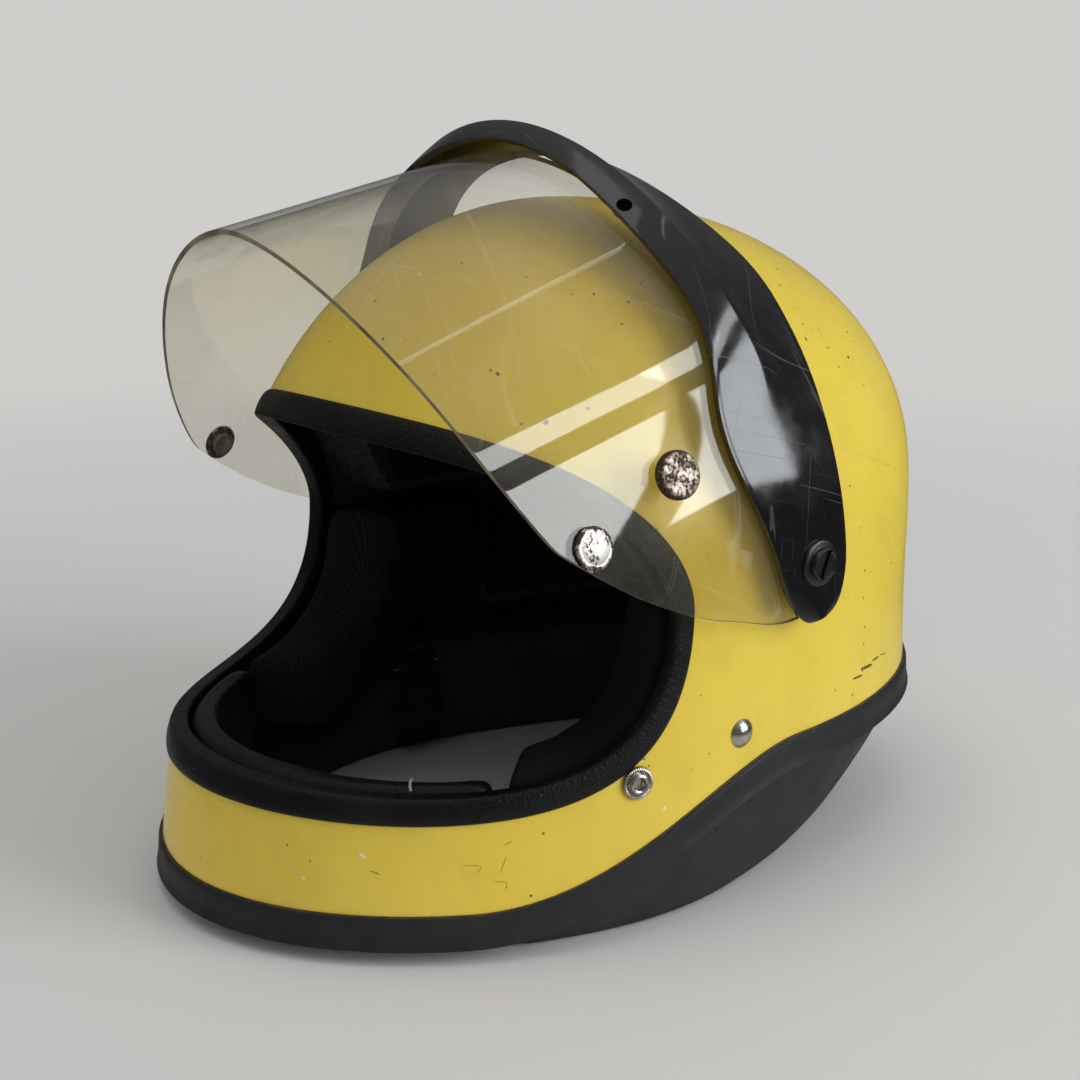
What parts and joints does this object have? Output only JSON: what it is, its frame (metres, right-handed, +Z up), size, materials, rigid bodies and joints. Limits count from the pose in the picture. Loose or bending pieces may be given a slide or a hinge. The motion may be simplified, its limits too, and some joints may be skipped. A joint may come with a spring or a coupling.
{
  "type": "full-face motorcycle helmet",
  "caption": "Full-face helmet with a glossy shell, padded eye port, clear flip-up visor on a hinged frame, snap fasteners, neck roll and a chin strap with D-rings.",
  "frame": {"origin": "on the ground plane under the middle of the helmet's length and width", "axes": "+X to the wearer's left, +Y to the back of the head, +Z up"},
  "size_m": [0.277, 0.3662, 0.2997],
  "materials": {
    "shell_paint": "gloss, worn",
    "liner_foam": "moulded foam",
    "liner_fabric": "quilted cloth",
    "pad_fabric": "ribbed cloth",
    "roll_cover": "matte coated cloth",
    "port_rubber": "grained",
    "base_rubber": "satin",
    "visor_clear": "clear, scratched",
    "frame_black": "gloss, scratched",
    "screw_black": "satin",
    "zinc": "zinc plated",
    "worn_nickel": "nickel, rust spots",
    "nickel": "nickel, polished",
    "webbing": "woven"
  },
  "bodies": {
    "helmet": {"outer_shell": "shell_paint", "energy_liner": "liner_foam", "comfort_liner": "liner_fabric", "chin_bar_liner": "liner_foam", "chin_pad": "pad_fabric", "cheek_pad_left": "pad_fabric", "cheek_pad_right": "pad_fabric", "neck_roll": "roll_cover", "eye_port_trim": "port_rubber", "base_trim": "base_rubber", "pivot_screws": "screw_black", "pivot_spacers": "screw_black", "pivot_nuts": "zinc", "snap_studs": "nickel", "stud_nuts": "zinc", "strap_rivets": "nickel", "strap_hangers": "zinc"},
    "visor": {"visor_sheet": "visor_clear", "visor_frame": "frame_black", "snap_caps": "worn_nickel", "snap_sockets": "worn_nickel", "lift_knobs": "worn_nickel"},
    "left_strap": {"chin_strap_left": "webbing"},
    "right_strap": {"chin_strap_right": "webbing", "strap_keeper": "webbing"},
    "lower_ring": {"d_ring_lower": "zinc"},
    "upper_ring": {"d_ring_upper": "zinc"}
  },
  "joints": [
    {"name": "visor_hinge", "type": "hinge", "parent": "helmet", "child": "visor", "pos_m": [0, 0.01495, 0.138], "axis": [1, 0, 0], "range_deg": [-20, 55]},
    {"name": "left_strap_swing", "type": "hinge", "parent": "helmet", "child": "left_strap", "pos_m": [0.08719, -0.00943, 0.0463], "axis": [0.0608, 0.9982, 0], "range_deg": [0, 35]},
    {"name": "right_strap_swing", "type": "hinge", "parent": "helmet", "child": "right_strap", "pos_m": [-0.08719, -0.00943, 0.0463], "axis": [0.0608, -0.9982, 0], "range_deg": [0, 35]},
    {"name": "lower_ring_swing", "type": "hinge", "parent": "left_strap", "child": "lower_ring", "pos_m": [0.08719, -0.00943, 0.0183], "axis": [0.0608, 0.9982, 0], "range_deg": [0, 60]},
    {"name": "upper_ring_swing", "type": "hinge", "parent": "left_strap", "child": "upper_ring", "pos_m": [0.08444, -0.00926, 0.0353], "axis": [0.0608, 0.9982, 0], "range_deg": [0, 60]}
  ]
}
